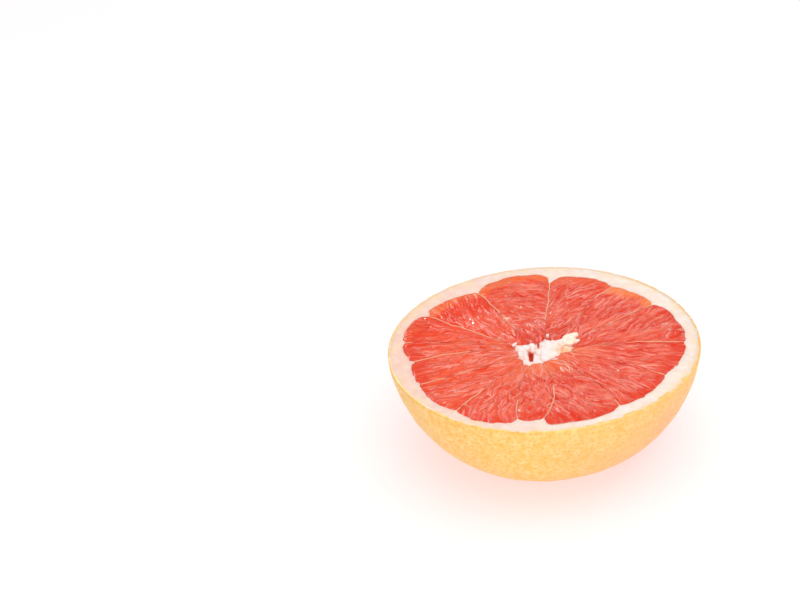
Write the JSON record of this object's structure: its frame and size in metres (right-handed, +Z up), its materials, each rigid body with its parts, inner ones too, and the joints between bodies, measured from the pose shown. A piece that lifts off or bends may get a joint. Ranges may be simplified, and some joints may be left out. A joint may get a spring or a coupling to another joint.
{
  "type": "grapefruit half",
  "caption": "Halved red grapefruit resting on its round side, cut face up, with thin rind, white pith, membranes and core, and plump segments of red flesh.",
  "frame": {"origin": "middle of the small flat spot under the rounded skin that the half rests on", "axes": "+Z up through the core to the level cut face, -Y towards the viewer of the reference picture, +X to the right there"},
  "size_m": [0.1062, 0.1056, 0.0424],
  "materials": {
    "rind": "waxy yellow-orange citrus skin with fine oil gland pores, soft sheen",
    "pith": "matt, spongy, warm white pith, slightly pink",
    "flesh": "wet, translucent coral-red juice sacs with paler walls"
  },
  "bodies": {
    "root": {"rind": "rind", "pith": "pith", "segment_01": "flesh", "segment_02": "flesh", "segment_03": "flesh", "segment_04": "flesh", "segment_05": "flesh", "segment_06": "flesh", "segment_07": "flesh", "segment_08": "flesh", "segment_09": "flesh", "segment_10": "flesh", "segment_11": "flesh", "segment_12": "flesh", "segment_13": "flesh", "segment_14": "flesh"}
  },
  "joints": []
}
